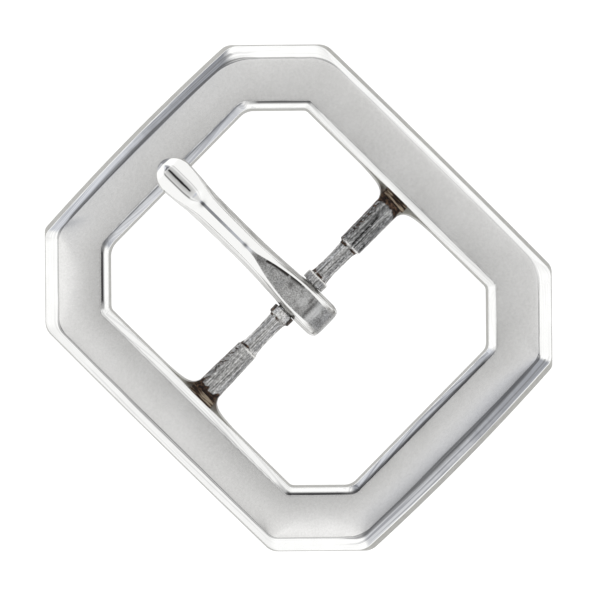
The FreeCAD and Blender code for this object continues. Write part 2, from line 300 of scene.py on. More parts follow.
def face_ring(share, z):
    """Ring on the face, from the opening's edge (share 0) to the crease of the outer bevel (share 1)."""
    def part_way(inner, outer):
        return inner + (outer - inner) * share

    insets = [part_way(-INNER_BEVEL, bevel) for bevel in BEVEL]
    radii = part_way(OPENING_RADII, CREASE_RADII) + FACE_RADIUS * 4 * share * (1 - share)
    ring = octagon(insets, part_way(OPENING_X, HALF_X - SIDE_BOW), part_way(OPENING_Y, HALF_Y - END_BOW),
                   part_way(OPENING_REACH, OUTER_REACH), SIDE_BOW * share, END_BOW * share, radii)
    return np.column_stack([ring, z])


def round_the_frame(values, blend=CORNER_BLEND):
    """One value for each point of a ring from one value for each side, blended over the corners."""
    own = np.concatenate([np.full(CORNER_STEPS + steps, value) for value, steps in zip(values, STEPS)])
    ring = outer_ring((0,) * 8, 0)[:, :2]
    run = np.linalg.norm(np.roll(ring, -1, axis=0) - ring, axis=1)
    place = np.cumsum(run)
    total = place[-1]
    apart = np.abs(place[:, None] - place[None, :])
    apart = np.minimum(apart, total - apart)
    weight = bell(apart, blend) * run[None, :]
    return (weight @ own) / weight.sum(1)


def boss_depth(y):
    """How far the boss stands in from the wall at a distance from the centre line."""
    y = np.clip(np.abs(y), BOSS_HALF, BOSS_END)
    return BOSS_SCALE / (y - BOSS_ASYMPTOTE) - BOSS_SCALE / (BOSS_END - BOSS_ASYMPTOTE)


FACE, POLISHED, WALL, BACK = range(4)


def build_frame():
    fall = round_the_frame(FACE_FALL, FACE_BLEND)
    curve = round_the_frame(FACE_CURVE, FACE_BLEND)
    wall = (opening_ring(0, BACK_ROUND), opening_ring(INNER_LEAN, THICKNESS - INNER_BEVEL_DEPTH))
    wall_rise = wall[1][0, 2] - wall[0][0, 2]

    def on_wall(z):
        return wall[0] + (wall[1] - wall[0]) * (z - BACK_ROUND) / wall_rise

    # each control ring: points, how far its edge is rounded (None is not at all), zone and steps to the next
    controls = [(opening_ring(BACK_ROUND, 0), 0.1, WALL, 1), (wall[0], 0.1, WALL, 1)]
    controls += [(on_wall(z), None, WALL, 1) for z in WALL_LEVELS]
    controls += [(wall[1], 0.14, POLISHED, 5)]
    opening_edge = len(controls)
    controls += [(opening_ring(INNER_BEVEL, THICKNESS), round_the_frame(INNER_SOFTNESS), FACE, 2)]
    controls += [(face_ring(share, THICKNESS - fall * share**curve), None, FACE, 2) for share in FACE_SHARES]
    crease = len(controls)
    wall_edge = outer_ring(WALL_LEAN, round_the_frame(WALL_TOP), OUTER_RADII + EDGE_EXTRA_RADIUS)
    controls += [
        (outer_ring(BEVEL, THICKNESS - fall, CREASE_RADII), round_the_frame(BEVEL_SOFTNESS), POLISHED, 6),
        (wall_edge, round_the_frame(WALL_EDGE), WALL, 8),
        (outer_ring((0,) * 8, BACK_ROUND), 0.12, WALL, 1),
        (outer_ring((BACK_ROUND,) * 8, 0), 0.1, BACK, 10),
    ]
    # painted dark reflections along the opening's edge and the outer crease, kept in the attribute line
    inner_painted_reflection = round_the_frame(INNER_PAINTED_REFLECTION, LINE_BLEND)
    outer_painted_reflection = round_the_frame(OUTER_PAINTED_REFLECTION, LINE_BLEND)
    # towards +X the end bevels get a painted dark reflection along their middle
    crease_x, crease_y = controls[crease][0][:, :2].T
    bevel_painted_reflection = 0.5 * smoothstep(0, 13, crease_x) * (np.abs(crease_y) > HALF_Y - 3)
    bevel_middle = 3
    levels = []
    zones = []
    lines = []
    crease_level = 0

    def add_level(points, zone, line=0.0):
        levels.append(points)
        zones.append(zone)
        lines.append(0 * fall + line)

    rings = [control[0] for control in controls]
    softness = [0.0 if control[1] is None else np.broadcast_to(control[1], len(fall))[:, None]
                for control in controls]
    for i, (ring, radius, zone, steps) in enumerate(controls):
        j = (i + 1) % len(controls)
        corner_zone = {FACE: POLISHED, BACK: WALL}.get(zone, zone)
        if i == crease + 1:
            corner_zone = POLISHED
        run = unit_rows(rings[j] - ring)
        if i == crease:
            crease_level = len(levels)
        if radius is not None:
            entry = ring + unit_rows(rings[i - 1] - ring) * softness[i]
            leave = ring + run * softness[i]
            for k in range(EDGE_STEPS):
                t = k / EDGE_STEPS
                here = entry * (1 - t) ** 2 + ring * 2 * t * (1 - t) + leave * t * t
                line = {opening_edge: inner_painted_reflection, crease: outer_painted_reflection * CREASE_PAINTED_REFLECTIONS[k]}.get(i, 0.0)
                add_level(here, corner_zone, line)
        start = ring + run * softness[i]
        stop = rings[j] - run * softness[j]
        for k in range(steps):
            line = 0.0
            if (i, k) == (opening_edge - 1, steps - 1):
                line = inner_painted_reflection * 0.5
            elif (i, k) == (crease, bevel_middle):
                line = bevel_painted_reflection
            add_level(start + (stop - start) * k / steps, zone, line)
    grid = np.array(levels)

    # bosses: the inner wall steps in towards the bar between the boss's back and top
    x = grid[..., 0]
    y = grid[..., 1]
    z = grid[..., 2]
    on_side = (np.abs(y) < BOSS_END) & (np.abs(x) < OPENING_X + INNER_LEAN + 0.05)
    band = smoothstep(BOSS_BACK, BOSS_BACK + 0.2, z) * fade(BOSS_TOP - 0.1, BOSS_TOP + 0.02, z)
    push = np.where(on_side, boss_depth(y) * band, 0)
    # brown residue covers the wall and the boss beside the bar, and more of the boss below its top
    beside_bar = smoothstep(1.0, 1.3, boss_depth(y))
    below_top = smoothstep(0.3, 0.65, boss_depth(y)) * fade(BOSS_TOP - 0.07, BOSS_TOP + 0.03, z)
    root = np.where(on_side, np.maximum(beside_bar, below_top), 0) * (z < THICKNESS - INNER_BEVEL_DEPTH)
    # it is thick above the bar, thinner at the lower left, and almost gone at the lower right
    root = root * np.where(y > 0, 1.0, np.where(x < 0, 0.8, 0.15))
    grid[..., 0] = x - np.sign(x) * push

    # a hand-polished surface is never quite true: it waves a little, always inwards
    flat = grid.reshape(-1, 3)
    wave = lumps(flat, 0.16, 1) * LONG_WAVE + lumps(flat, 0.6, 2) * SHORT_WAVE
    height = smoothstep(2.6, 3.8, flat[:, 2])
    outer_side = (np.abs(flat[:, 0]) > OPENING_X + 4) | (np.abs(flat[:, 1]) > OPENING_Y + 4)
    flat -= unit_rows(flat * [1, 1, 0]) * (np.maximum(wave + 0.02, 0) * height * outer_side)[:, None]
    grid = flat.reshape(grid.shape)
    inner_side = np.linalg.norm(grid[..., :2], axis=2) < np.linalg.norm(face_ring(0.3, fall)[:, :2], axis=1)
    # distances across and along the bevels, for marks that run parallel to the edges
    across = np.cumsum(np.linalg.norm(np.diff(grid, axis=0, prepend=grid[:1]), axis=2), axis=0)
    across = across - across[crease_level]
    foot = rings[-1]
    along = np.cumsum(np.linalg.norm(np.diff(foot, axis=0, prepend=foot[:1]), axis=1))
    # rougher walls, whose grey colour is a painted reflection of the shaded table
    dull = np.where(inner_side, INNER_WALL_DULLNESS_AND_PAINTED_REFLECTION, round_the_frame(WALL_DULLNESS_AND_PAINTED_REFLECTION))
    return grid_piece("frame_polished", grid, close_rows=True, zones=zones,
                      attributes={"residue": root, "line": np.array(lines), "dull": dull, "across": across,
                                  "along": np.broadcast_to(along, across.shape),
                                  "lay": np.broadcast_to(round_the_frame(LAY), across.shape)}, sharp=50)


# ---------------------------------------------------------------- centre bar

def build_bar():
    """Cast bar as one skin along X: half width, half height and squareness change along it."""
    end = BAR_HIGH.x
    tenon_low = AXIS_Z - SHOULDER_HALF_HEIGHT
    tenon_z = (TENON_TOP + tenon_low) / 2
    tenon_half = (TENON_TOP - tenon_low) / 2
    # distance along, half width, half height, squareness of the section (2 is round)
    rows = [
        (0, SEAT_RADIUS, SEAT_RADIUS, 2),
        (COLLAR_START - 0.02, SEAT_RADIUS, SEAT_RADIUS, 2),
        (COLLAR_START, 1.66, 1.64, 2.3),
        (COLLAR_START + 0.08, COLLAR_RADIUS, 1.68, 2.3),
        (COLLAR_END - 0.25, COLLAR_RADIUS, 1.68, 2.3),
        (COLLAR_END - 0.03, 1.55, 1.5, 2),
        (COLLAR_END, 1.38, 1.28, 2),
        (4.7, 1.27, 1.17, 2.1),
        (7.1, 1.19, 1.12, 2.2),
        (9.3, 1.27, 1.17, 2.3),
        (9.85, 1.38, 1.2, 2.4),
        (SHOULDER_START, 1.42, 1.12, 2.5),
        (SHOULDER_START + 0.12, 1.6, 1.2, 2.7),
        (SHOULDER_START + 0.28, 1.7, 1.3, 2.9),
        (SHOULDER_START + 0.5, 1.69, 1.25, 3),
        (13.5, 1.74, 1.25, 3.2),
        (TENON_START - 0.02, 1.83, SHOULDER_HALF_HEIGHT, 3.4),
        (TENON_START, 1.98, 1.15, 8),
        (TENON_START + 0.12, 2.04, tenon_half, 12),
        (end - 0.05, 2.04, tenon_half, 12),
        (end, 1.95, 1.1, 12),
    ]
    x_keys, half_y, half_z, square = zip(*rows)
    changes = (COLLAR_START, COLLAR_END, SHOULDER_START + 0.2, TENON_START, end)
    stations = [0.0]
    while stations[-1] < end:
        here = stations[-1]
        near = min(abs(here - change) for change in changes)
        stations.append(min(end, here + FINEST_STEP + EXTRA_STEP * min(1, near)))
    right = np.array(stations)
    along = np.concatenate([-right[:0:-1], right])
    size = np.abs(along)
    hy = curve_through(x_keys, half_y, size)
    hz = curve_through(x_keys, half_z, size)
    power = curve_through(x_keys, square, size)
    # the left shoulder tapers towards its step, and the right one keeps its width
    taper = fade(10.5, 17, size) * (size > SHOULDER_START)
    hy = hy + taper * np.where(along < 0, -0.07, 0.05)
    # columns that are evenly spaced on the shoulders' squarish section, from a side's middle to its corner
    eighth = np.arcsin((np.arange(14) / 14 * 0.8) ** SECTION_SQUEEZE)
    quarter = np.concatenate([eighth, [math.pi / 4], math.pi / 2 - eighth[:0:-1]])
    angle = np.concatenate([quarter + turn * math.pi / 2 for turn in range(4)])
    c = np.cos(angle)[None, :]
    s = np.sin(angle)[None, :]
    p = (2 / power)[:, None]
    y = hy[:, None] * np.sign(c) * np.abs(c) ** p
    centre = AXIS_Z + (tenon_z - AXIS_Z) * smoothstep(TENON_START - 0.02, TENON_START, size)
    z = centre[:, None] + hz[:, None] * np.sign(s) * np.abs(s) ** p
    grid = np.stack([np.broadcast_to(along[:, None], y.shape), y, z], axis=-1).copy()

    # cast surface: lumps and lengthwise scratch-brushing, none on the seat or inside the bosses
    flat = grid.reshape(-1, 3)
    x = flat[:, 0]
    y = flat[:, 1]
    size = np.abs(x)
    free = smoothstep(COLLAR_START, COLLAR_START + 0.3, size) * fade(17.4, 18.2, size)
    stretched = flat * [0.25, 1, 1]
    ripple = lumps(stretched, 3.2, 3) * 0.012 + lumps(flat, 0.9, 4) * 0.03 + lumps(flat, 3.5, 5) * 0.016
    radial = unit_rows((flat - [0, 0, AXIS_Z]) * [0, 1, 1])
    top_side = smoothstep(0.2, 0.8, radial[:, 2])
    # a wavy seam along the right shoulder, a nick at its step, and a knob at the left shoulder's step
    seam = bell(y + 0.06 - 0.03 * np.sin(x * 2.1), SEAM_WIDTH) * top_side * smoothstep(10.4, 10.9, x)
    nick = bell(x - 10.3, 0.3) * bell(y + 0.1, 0.35) * top_side
    knob = bell(np.hypot((x + 10.25) / 0.26, (y + 1.25) / 0.3), 1, 4)
    flat += radial * (ripple * free - seam * SEAM_DEPTH + knob * KNOB_HEIGHT - nick * NICK_DEPTH)[:, None]
    flat[:, 1] = np.clip(y, -TENON_HALF, TENON_HALF)
    grid = flat.reshape(grid.shape)

    # brown residue in the corners: at the roots, the steps and outside the collars
    speck = lumps(flat, 1.7, 6) * 0.5 + 0.5
    fine_speck = lumps(flat, 4.5, 7) * 0.5 + 0.5
    beside = smoothstep(0.55, 0.95, np.abs(radial[:, 1]))
    upper = smoothstep(0.3, 0.9, radial[:, 1])
    root = smoothstep(17.75, 18.2, size + (speck - 0.5) * 0.9 + beside * 0.7)
    corner = bell(size - COLLAR_END - 0.15, 0.22) * (0.25 + 0.75 * smoothstep(0.4, 0.7, speck))
    corner += bell(size - COLLAR_START - 0.5, 0.75, 4) * beside * np.where(x < 0, 1.8, 0.3)
    step = bell(size - SHOULDER_START + 0.14, 0.2) * (0.45 + 0.5 * smoothstep(0.35, 0.7, speck))
    step *= np.where(x < 0, smoothstep(-0.6, 0.5, y), 1.0)
    rims = (size > SHOULDER_START) * upper * 0.75 * smoothstep(0.4, 0.6, fine_speck)
    rims += (size > COLLAR_END) * (size < SHOULDER_START) * beside * 0.5 * smoothstep(0.3, 0.65, speck)
    residue = smoothstep(0.25, 0.7, (root + corner + step + rims) * (0.7 + 0.6 * fine_speck))
    tan = smoothstep(TENON_START + 0.1, TENON_START + 0.25, size)
    # worn bright: the shoulders' steps, the left collar and the right collar's outer rim
    worn = bell(size - SHOULDER_START - 0.22, 0.13) * smoothstep(0.2, 0.5, fine_speck)
    worn *= np.where(x < 0, fade(0.1, 0.5, y), 1 - bell(y + 0.2, 0.25))
    worn += 0.85 * (x < 0) * bell(size - 3.45, 0.5, 4) * smoothstep(0.35, 0.6, fine_speck) * (1 - beside)
    worn += (x > 0) * bell(size - 3.98, 0.12) * smoothstep(0.2, 0.5, fine_speck)
    # darker colour: most on the right shoulder, less on the right neck and collar and on the left
    shade = 0.95 * smoothstep(9.9, 10.4, x) + 0.25 * smoothstep(10.2, 10.6, -x)
    shade += 0.45 * (smoothstep(4.2, 4.5, x) - smoothstep(9.6, 10.0, x)) + 0.2 * (x < -4.2) * (x > -9.9)
    shade += 0.5 * smoothstep(2.7, 2.9, x) * fade(4.1, 4.3, x)
    # black: painted shade in the seam's groove and painted shadow beside both steps, and a black mark on one
    # spot of the right shoulder's lower edge
    painted_shade_and_marks = 1.8 * seam * smoothstep(0.25, 0.45, fine_speck) * fade(15.5, 16.5, size)
    painted_shade_and_marks += (bell(x - 9.85, 0.16) + bell(x + 10.02, 0.1)) * smoothstep(0.2, 0.4, y)
    painted_shade_and_marks += bell(x - 11.3, 0.6) * bell(y + 1.45, 0.2) * smoothstep(0.3, 0.55, fine_speck)
    painted_shade_and_marks = np.clip(painted_shade_and_marks, 0, 1) * smoothstep(-0.2, 0.3, radial[:, 2])
    return grid_piece("centre_bar_cast", grid, close_rows=False, cap_ends=True, sharp=60,
                      attributes={"residue": residue, "tan": tan, "worn": np.clip(worn, 0, 1),
                                  "shade": np.clip(shade, 0, 1), "painted_shade_and_marks": painted_shade_and_marks})


# ---------------------------------------------------------------- prong

def build_prong():
    """One skin from the folded tail, round the heel and over the bar to the tip.
    The outer line and the inner line are matched point for point, and each section spans between them."""
    crest = PRONG_HIGH.z - 0.03
    rest = THICKNESS + REST_GAP
    head_end = 25.5
    # so slight a hollow (mm) that from 0.7 m above the whole head's crest mirrors the point straight overhead
    hollow = 2772.0

    def level(y):
        return crest - (head_end**2 - y**2) / hollow

    slot_low = AXIS_Z - SLOT_HALF
    slot_high = AXIS_Z + SLOT_HALF

    def on_bore(degrees):
        a = math.radians(degrees)
        return (BORE_RADIUS * math.cos(a), AXIS_Z + BORE_RADIUS * math.sin(a))

    # outer (y, z), inner (y, z), half width, flat half width, its crown, edge half width, edge drop
    rows = [
        ((0.80, 0.17), on_bore(-62), 2.46, 1.9, 0.0, 2.2, 0.05),
        ((0.10, 0.15), on_bore(-88), 2.5, 1.9, 0.0, 2.25, 0.05),
        ((-0.80, 0.15), on_bore(-118), 2.55, 1.9, 0.0, 2.3, 0.06),
        ((-1.60, 0.15), on_bore(-150), 2.6, 1.9, 0.0, 2.3, 0.08),
        ((-2.60, 0.17), (-2.1, slot_low), 2.62, 1.8, 0.02, 2.25, 0.15),
        ((-3.70, 0.36), (-2.9, slot_low + 0.06), 2.64, 1.7, 0.04, 2.2, 0.2),
        ((-4.92, 1.00), (-3.35, slot_low + 0.3), 2.66, 1.7, 0.05, 2.36, 0.2),
        ((-5.57, 2.15), (-3.5, AXIS_Z), 2.68, 1.7, 0.05, 2.38, 0.22),
        ((-5.38, 3.25), (-3.35, slot_high - 0.3), 2.7, 1.6, 0.05, 2.36, 0.26),
        ((-4.50, 4.18), (-3.0, slot_high - 0.06), 2.7, 1.55, 0.04, 2.26, 0.34),
        ((-3.00, 4.66), (-2.1, slot_high), 2.7, 1.6, 0.02, 2.17, 0.4),
        ((-1.70, 4.86), on_bore(150), 2.68, 1.66, 0.0, 2.15, 0.42),
        ((-0.60, 4.92), on_bore(118), 2.66, 1.7, 0.0, 2.08, 0.32),
        ((0.60, 4.96), on_bore(85), 2.62, 1.68, 0.0, 2.03, 0.28),
        ((1.80, 4.98), on_bore(40), 2.57, 1.6, 0.0, 1.97, 0.3),
        ((2.80, 5.00), on_bore(0), 2.5, 1.48, 0.0, 1.9, 0.34),
        ((3.50, 5.02), on_bore(-46), 2.45, 1.38, 0.0, 1.84, 0.38),
        ((3.90, 5.03), (1.75, 0.50), 2.42, 1.32, 0.0, 1.8, 0.4),
        ((4.60, 5.07), (2.9, 1.00), 2.38, 1.2, 0.0, 1.74, 0.45),
        ((6.00, 5.17), (4.9, 1.80), 2.29, 0.92, 0.0, 1.62, 0.55),
        ((7.40, 5.30), (6.8, 2.30), 2.22, 0.56, 0.0, 1.52, 0.6),
        ((9.00, 5.46), (8.8, 2.62), 2.17, 0.24, 0.0, 1.42, 0.65),
        ((11.5, 5.73), (11.5, 3.05), 2.16, 0.21, 0.003, 1.38, 0.68),
        ((15.0, 6.2), (15.0, 3.55), 2.18, 0.22, 0.003, 1.4, 0.7),
        ((18.0, 6.72), (18.0, 4.00), 2.22, 0.22, 0.003, 1.52, 0.72),
        ((19.2, crest - 0.232), (19.2, 4.18), 2.27, 0.22, 0.004, 1.7, 0.74),
        ((19.75, crest - 0.185), (19.75, 4.26), 2.3, 0.34, 0.008, 1.8, 0.76),
        ((20.2, crest - 0.15), (20.2, 4.32), 2.34, 0.55, 0.018, 1.88, 0.78),
        ((20.6, crest - 0.105), (20.6, 4.38), 2.39, 0.64, 0.02, 1.97, 0.79),
        ((21.2, level(21.2)), (21.2, 4.46), 2.45, 0.7, 0.026, 2.1, 0.81),
        ((22.0, level(22.0)), (22.0, rest - 0.06), 2.52, 0.74, 0.024, 2.28, 0.84),
        ((24.2, level(24.2)), (24.2, rest), 2.63, 0.74, 0.02, 2.45, 0.88),
        ((25.3, level(25.3)), (25.25, rest), 2.4, 0.72, 0.02, 2.23, 0.84),
        ((25.6, level(25.6)), (25.5, rest), 2.24, 0.6, 0.018, 2.09, 0.8),
        ((25.85, crest - 0.03), (25.7, rest), 2.08, 0.34, 0.02, 1.94, 0.76),
        ((26.25, crest - 0.22), (26.1, rest), 1.74, 0.08, 0.02, 1.6, 0.62),
        ((26.55, crest - 0.54), (26.4, rest), 1.44, 0.06, 0.02, 1.3, 0.5),
        ((26.8, 6.2), (26.65, rest), 1.1, 0.1, 0.02, 0.98, 0.38),
        ((26.98, 5.7), (26.83, rest), 0.78, 0.2, 0.02, 0.7, 0.28),
        ((PRONG_HIGH.y - 0.02, 5.2), (PRONG_HIGH.y - 0.1, rest + 0.1), 0.46, 0.12, 0.0, 0.4, 0.12),
    ]
    outer_keys = np.array([row[0] for row in rows])
    inner_keys = np.array([row[1] for row in rows])
    middle = (outer_keys + inner_keys) / 2
    key = np.concatenate([[0], np.cumsum(np.linalg.norm(np.diff(outer_keys, axis=0), axis=1)
                                         + np.linalg.norm(np.diff(middle, axis=0), axis=1))])
    at = np.sort(np.concatenate([np.linspace(0, key[-1], STATIONS), key[1:-1]]))

    def read(values):
        return curve_through(key, values, at)

    outer = np.column_stack([read(outer_keys[:, 0]), read(outer_keys[:, 1])])
    inner = np.column_stack([read(inner_keys[:, 0]), read(inner_keys[:, 1])])
    half, flat, crown, edge, edge_drop = [read([row[i] for row in rows]) for i in range(2, 7)]
    tall = np.linalg.norm(outer - inner, axis=1)
    up = (outer - inner) / tall[:, None]
    # the side leans out from the edge to the widest line, then stands straight to the rounded foot
    wide_drop = np.minimum(edge_drop + (half - edge) * 2 + 0.1, tall * 0.76)
    low = np.minimum(FOOT_ROUND, np.minimum(half / 3, tall / 5))

    # a narrow, gently tilted facet beside the crest, on the head only
    facet = FACET * smoothstep(18.8, 20.4, outer[:, 0]) * fade(25.6, 26.6, outer[:, 0]) + 0.01

    def right_half():
        """Points (x, drop) from the middle of the crest, down the right side to the middle of the foot."""
        for share in (0.0, 0.1, 0.2, 0.35, 0.5, 0.65, 0.8, 0.94):
            yield flat * share, crown * share**2
        for u in (0.5, 1.0):
            yield flat + facet * u, crown + facet * FACET_FALL * u
        foot = (flat + facet, crown + facet * FACET_FALL)
        for u in (0.05, 0.12, 0.25, 0.4, 0.55, 0.7, 0.8):
            yield foot[0] + (edge - foot[0]) * u, foot[1] + (edge_drop - foot[1]) * u
        flank_end = 0.9
        start = (foot[0] + (edge - foot[0]) * flank_end, foot[1] + (edge_drop - foot[1]) * flank_end)
        stop = (edge + (half - edge) * 0.2, edge_drop + (wide_drop - edge_drop) * 0.2)
        for t in (0.25, 0.5, 0.75, 1.0):
            yield [a * (1 - t) ** 2 + b * 2 * t * (1 - t) + c * t * t
                   for a, b, c in zip(start, (edge, edge_drop), stop)]
        for u in (0.4, 0.6, 0.8):
            yield edge + (half - edge) * u, edge_drop + (wide_drop - edge_drop) * u
        for u in (0.08, 0.35, 0.7, 1.0):
            yield half, wide_drop + (tall - low - wide_drop) * u
        for a in (22.5, 45, 67.5, 90):
            turn = math.radians(a)
            yield half - low * (1 - math.cos(turn)), tall - low + low * math.sin(turn)
        for share in (0.6, 0.2):
            yield (half - low) * share, tall

    right_points = [(np.asarray(x), np.asarray(drop)) for x, drop in right_half()]
    section = right_points + [(-x, drop) for x, drop in reversed(right_points[1:])]
    across = np.array([x for x, drop in section]).T
    drop = np.array([drop for x, drop in section]).T
    y = outer[:, 0:1] - up[:, 0:1] * drop
    z = outer[:, 1:2] - up[:, 1:2] * drop
    grid = np.stack([across, y, z], axis=-1)

    # the leaf-shaped flat over the eye is unpolished, and the steep sides are only brushed
    flat, half, edge, edge_drop, wide_drop = [v[:, None] for v in (flat, half, edge, edge_drop, wide_drop)]
    x = np.abs(across)
    on_top = z > 1.2
    leaf_edge = 0.08 + 0.45 * fade(-4.4, -3.2, y)
    leaf = fade(8.6, 9.6, y) * (drop < 0.4)
    leaf = leaf * fade(0.0, 1.0, (x - flat) / leaf_edge)
    beside = smoothstep(0.05, 0.3, (drop - edge_drop) / (wide_drop - edge_drop))
    to_right = smoothstep(-0.5, 0.5, across)
    around_eye = smoothstep(-1.8, -0.4, y) * fade(3.5, 6.5, y) * on_top
    heel = fade(-4.4, -2.6, y) * on_top
    beside_leaf = smoothstep(0.2, 0.45, (x - flat) / (half - flat))
    beside = np.maximum(beside, beside_leaf * around_eye)
    rim = bell(x - edge + 0.06, 0.09) * on_top * (1 - around_eye)
    shaft = 0.42 + 0.48 * to_right + (0.2 - 0.2 * to_right) * fade(5.0, 10.0, y)
    side = beside * (shaft + (1 - shaft) * (0.6 + 0.4 * to_right) * around_eye) * (1 - 0.7 * rim)
    side = np.maximum(side, heel * (0.72 + 0.28 * to_right) * (1 - 0.6 * rim))

    def spot(at_x, at_y, wide, long):
        return bell(across - at_x, wide) * bell(y - at_y, long) * on_top

    # on the leaf: dark blots, partly marks and partly painted dark reflection, a broken line at its right
    # edge, a painted dark reflection, and light bands, which are painted highlights
    right_edge_reflection = bell(across - flat + 0.12, 0.17) * smoothstep(0.2, 1.2, y) * (y < 6.9)
    broken = lumps(grid, 1.6, 8).reshape(across.shape) * 0.5 + 0.5
    dark = 2.4 * right_edge_reflection * smoothstep(0.22, 0.42, broken)
    for strength, *blot in LEAF_BLOTS_AND_REFLECTIONS:
        dark += strength * spot(*blot)
    light = 0.8 * spot(0.0, -3.0, 3.0, 0.4) + spot(0.2, -3.48, 1.1, 0.1) + 0.5 * spot(-0.2, -0.9, 0.8, 0.6)
    # on the crest: two pits, and painted dark reflections: a line to the head's left and a slit that narrows
    # towards the bar
    pits_and_painted_reflections = 0.75 * spot(-0.03, 18.75, 0.42, 0.34) + 0.8 * spot(0.05, 10.5, 0.28, 0.4)
    pits_and_painted_reflections += 0.35 * bell(across + flat + 0.12, 0.15) * smoothstep(19.3, 20.3, y) * (y < 25.9)
    slit = bell(across - 0.05, 0.05 + 0.06 * smoothstep(21.2, 23.0, y))
    pits_and_painted_reflections += 0.9 * slit * smoothstep(21.2, 21.8, y) * fade(25.2, 25.6, y)
    marks = {"dark": np.clip(dark * leaf, 0, 1), "light": np.clip(light * leaf, 0, 1),
             "pits_and_painted_reflections": np.clip(pits_and_painted_reflections, 0, 1)}
    return grid_piece("prong_polished", grid, close_rows=False, cap_ends=True, sharp=35,
                      attributes={"leaf": leaf, "side": side, **marks})


# ---------------------------------------------------------------- materials

RESIDUE_SPECULAR = 0.2
PAINTED_REFLECTION_DARK = (0.025, 0.024, 0.026)  # painted dark reflection on the frame's creases and opening edge
# painted shade in the bar's seam and beside its steps, and one black mark
SHADE_AND_MARK_BLACK = (0.012, 0.011, 0.010)
WORN_BRIGHT = (0.90, 0.89, 0.87)
MIRROR = (0.82, 0.82, 0.81)


def new_node(tree, kind, **settings):
    node = tree.nodes.new("ShaderNode" + kind)
    for key, value in settings.items():
        setattr(node, key, value)
    return node


def fill_ramp(node, stops):
    """Give a colour ramp its stops, each a position and a colour."""
    elements = node.color_ramp.elements
    while len(elements) < len(stops):
        elements.new(0.5)
    for element, (position, colour) in zip(elements, stops):
        element.position = position
        element.color = (*colour, 1)


def main_output(source):
    """The output of a node that the next node takes, or the one named in a (node, name) pair."""
    names = {"VALTORGB": "Color", "MIX": "Result", "TEX_NOISE": "Fac", "ATTRIBUTE": "Fac", "BUMP": "Normal"}
    node, name = source if isinstance(source, tuple) else (source, names[source.type])
    return node.outputs[name]


class Nodes:
    """Small helper for building one material's node tree."""

    def __init__(self, name, fixed=None):
        """fixed gives the shader's inputs that are the same everywhere."""
        self.material = bpy.data.materials.new(name)
        self.material.use_nodes = True
        self.tree = self.material.node_tree
        self.tree.nodes.clear()
        self.output = self.add("OutputMaterial")
        self.shader = self.add("BsdfPrincipled")
        for key, value in (fixed or {}).items():
            self.shader.inputs[key].default_value = value
        self.join(self.shader, "BSDF", self.output, "Surface")
        self.place = self.add("TexCoord")

    def add(self, kind, **settings):
        return new_node(self.tree, kind, **settings)

    def join(self, source, output, target, name):
        self.tree.links.new(source.outputs[output], target.inputs[name])

    def shade(self, source, name):
        self.tree.links.new(main_output(source), self.shader.inputs[name])

    def stretched_noise(self, source, output, stretch, **settings):
        mapping = self.add("Mapping")
        mapping.inputs["Scale"].default_value = stretch
        self.join(source, output, mapping, "Vector")
        node = self.add("TexNoise")
        for name, value in settings.items():
            node.inputs[name].default_value = value
        self.join(mapping, "Vector", node, "Vector")
        return node

    def noise(self, scale, detail=3.0, roughness=0.5, stretch=(1, 1, 1)):
        """Noise in object space, with features about 1/scale metres across before the stretch."""
        return self.stretched_noise(self.place, "Object", stretch,
                                    Scale=scale, Detail=detail, Roughness=roughness)

    def lay_lines(self, scale, stretch):
        """Noise that runs parallel to the edges, from the mesh's own distances in millimetres."""
        vector = self.add("CombineXYZ")
        self.join(self.attribute("across"), "Fac", vector, "X")
        self.join(self.attribute("along"), "Fac", vector, "Y")
        return self.stretched_noise(vector, "Vector", (1, stretch, 1), Scale=scale, Detail=2)

    def ramp(self, source, stops):
        """Colour ramp from (position, colour) stops. A colour may be one grey value."""
        node = self.add("ValToRGB")
        fill_ramp(node, [(at, value if isinstance(value, tuple) else (value,) * 3) for at, value in stops])
        self.tree.links.new(main_output(source), node.inputs["Fac"])
        return node

    def attribute(self, name):
        return self.add("Attribute", attribute_name=name)

    def mix(self, factor, first, second):
        """Colour mix. The factor is a node or a number, and the two colours are nodes or fixed colours."""
        node = self.add("Mix", data_type="RGBA")
        for index, value in ((0, factor), (6, first), (7, second)):
            if isinstance(value, float):
                node.inputs[index].default_value = value
            elif isinstance(value, tuple) and isinstance(value[0], float):
                node.inputs[index].default_value = (*value, 1)
            else:
                self.tree.links.new(main_output(value), node.inputs[index])
        return node

    def bump(self, source, distance, below=None):
        """Bump that stands out by the distance in metres, on top of the one below."""
        node = self.add("Bump")
        node.inputs["Distance"].default_value = distance
        self.tree.links.new(main_output(source), node.inputs["Height"])
        if below is not None:
            self.tree.links.new(main_output(below), node.inputs["Normal"])
        return node


def frame_polish():
    """Buffed bright bevels with polishing lines along them, and painted dark reflections on their creases and
    the opening's edge.
    """
    m = Nodes("frame_polish")
    patches = m.noise(260, 4, 0.6)
    tint = m.ramp(patches, [(0.3, (0.76, 0.76, 0.75)), (0.7, (0.82, 0.82, 0.81))])
    lay_lines = m.lay_lines(3.2, 0.012)
    lines = m.ramp(lay_lines, [(0.42, (0.42, 0.42, 0.43)), (0.48, (0.80, 0.80, 0.79)),
                               (0.6, (0.84, 0.84, 0.83))])
    lined = m.mix(m.attribute("lay"), tint, lines)
    # painted dark reflections on the creases and the opening's edge: dark colour, less metallic
    line = m.attribute("line")
    m.shade(m.mix(line, lined, PAINTED_REFLECTION_DARK), "Base Color")
    m.shade(m.ramp(line, [(0.0, 1.0), (1.0, 0.6)]), "Metallic")
    m.shade(m.ramp(patches, [(0.35, 0.06), (0.75, 0.1)]), "Roughness")
    peel = m.bump(m.noise(420, 2, 0.4), 0.000012)
    m.shade(m.bump(lay_lines, 0.000014, below=peel), "Normal")
    return m.material


